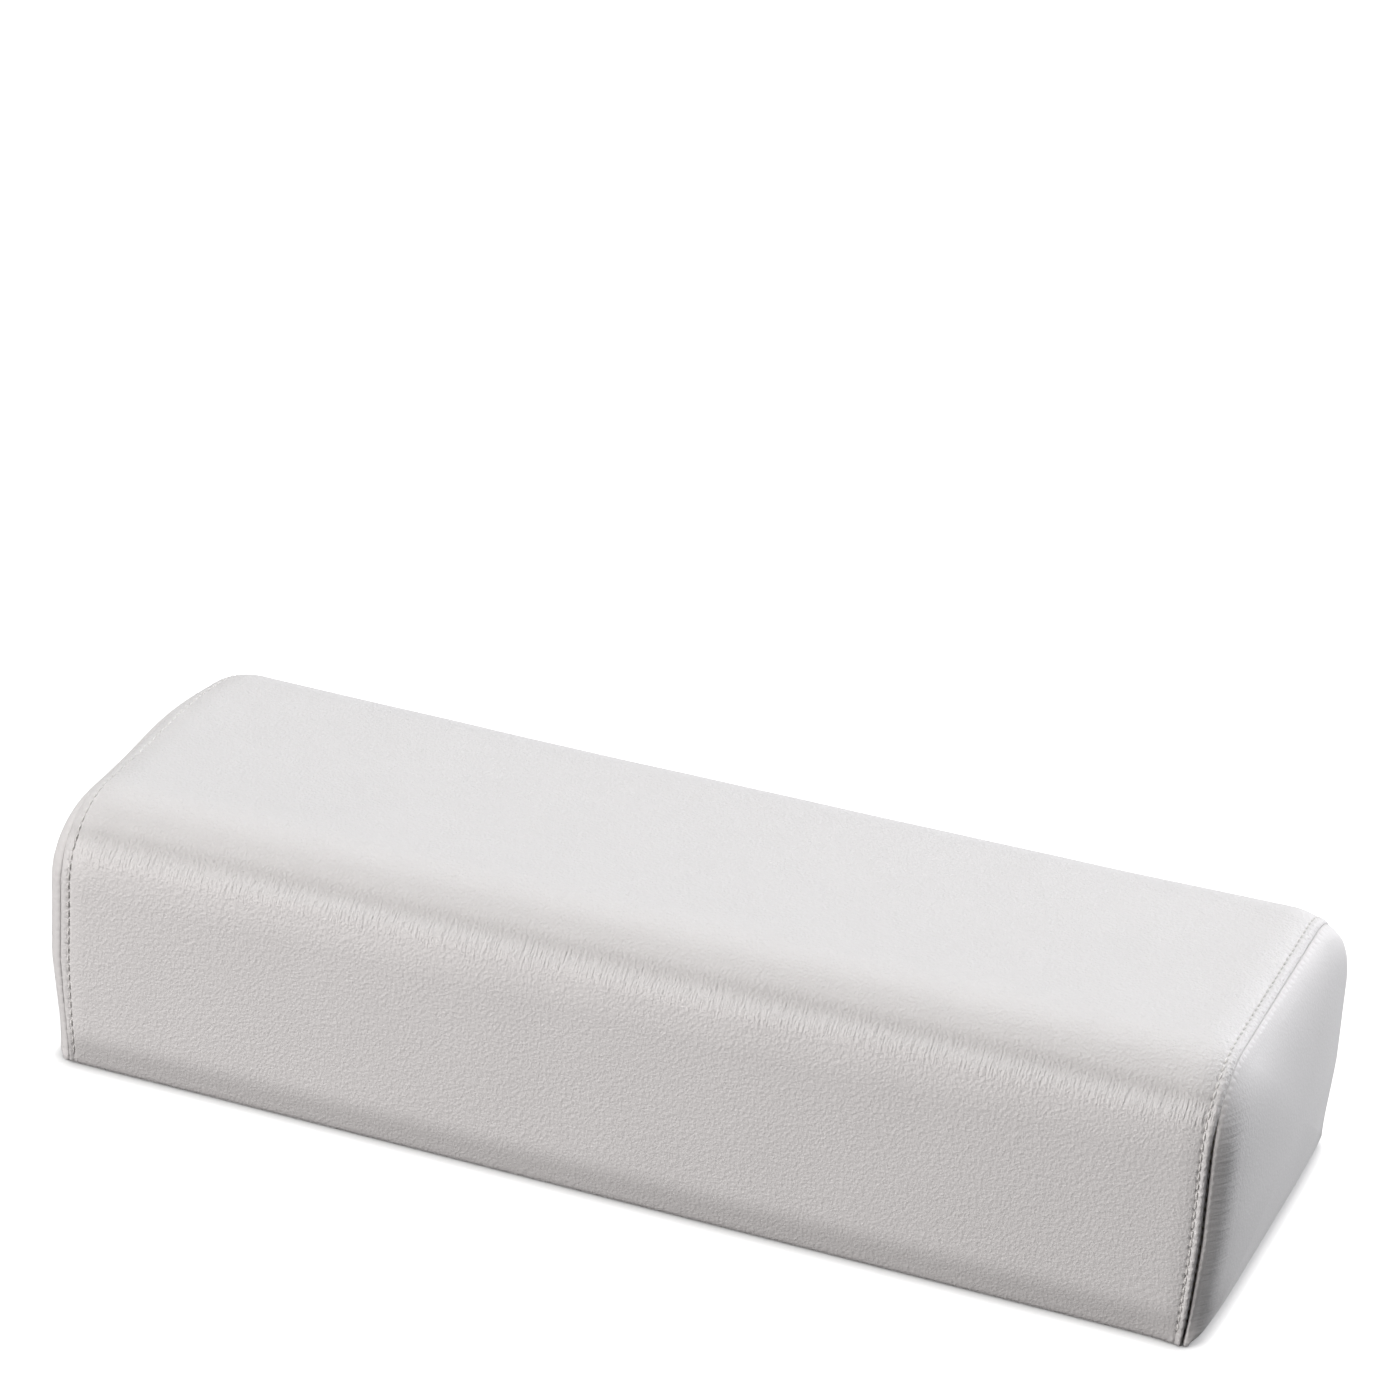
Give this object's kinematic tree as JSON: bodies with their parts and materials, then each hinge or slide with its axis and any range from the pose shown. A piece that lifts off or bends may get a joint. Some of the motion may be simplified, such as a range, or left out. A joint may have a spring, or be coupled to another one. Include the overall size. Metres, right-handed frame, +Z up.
{
  "type": "manicure hand rest",
  "caption": "Long low hand rest for manicures: a padded block with rounded top edges in a sewn white leatherette cover, stapled under a flat base.",
  "frame": {"origin": "middle of the underside of the base cloth, on the table", "axes": "+X along the rest towards its right end, +Y from front to back, +Z up"},
  "size_m": [0.35, 0.12, 0.08],
  "materials": {
    "leatherette": "satin white synthetic leather with a fine grain",
    "foam": "open-cell upholstery foam",
    "plywood": "bare plywood",
    "base_cloth": "black non-woven cloth",
    "staple_steel": "plain steel wire"
  },
  "bodies": {
    "root": {"cover_wrap": "leatherette", "end_panel_left": "leatherette", "end_panel_right": "leatherette", "foam_core": "foam", "base_board": "plywood", "base_cloth": "base_cloth", "staple_front_1": "staple_steel", "staple_front_2": "staple_steel", "staple_front_3": "staple_steel", "staple_front_4": "staple_steel", "staple_front_5": "staple_steel", "staple_front_6": "staple_steel", "staple_front_7": "staple_steel", "staple_back_1": "staple_steel", "staple_back_2": "staple_steel", "staple_back_3": "staple_steel", "staple_back_4": "staple_steel", "staple_back_5": "staple_steel", "staple_back_6": "staple_steel", "staple_back_7": "staple_steel", "staple_left_1": "staple_steel", "staple_left_2": "staple_steel", "staple_right_1": "staple_steel", "staple_right_2": "staple_steel"}
  },
  "joints": []
}
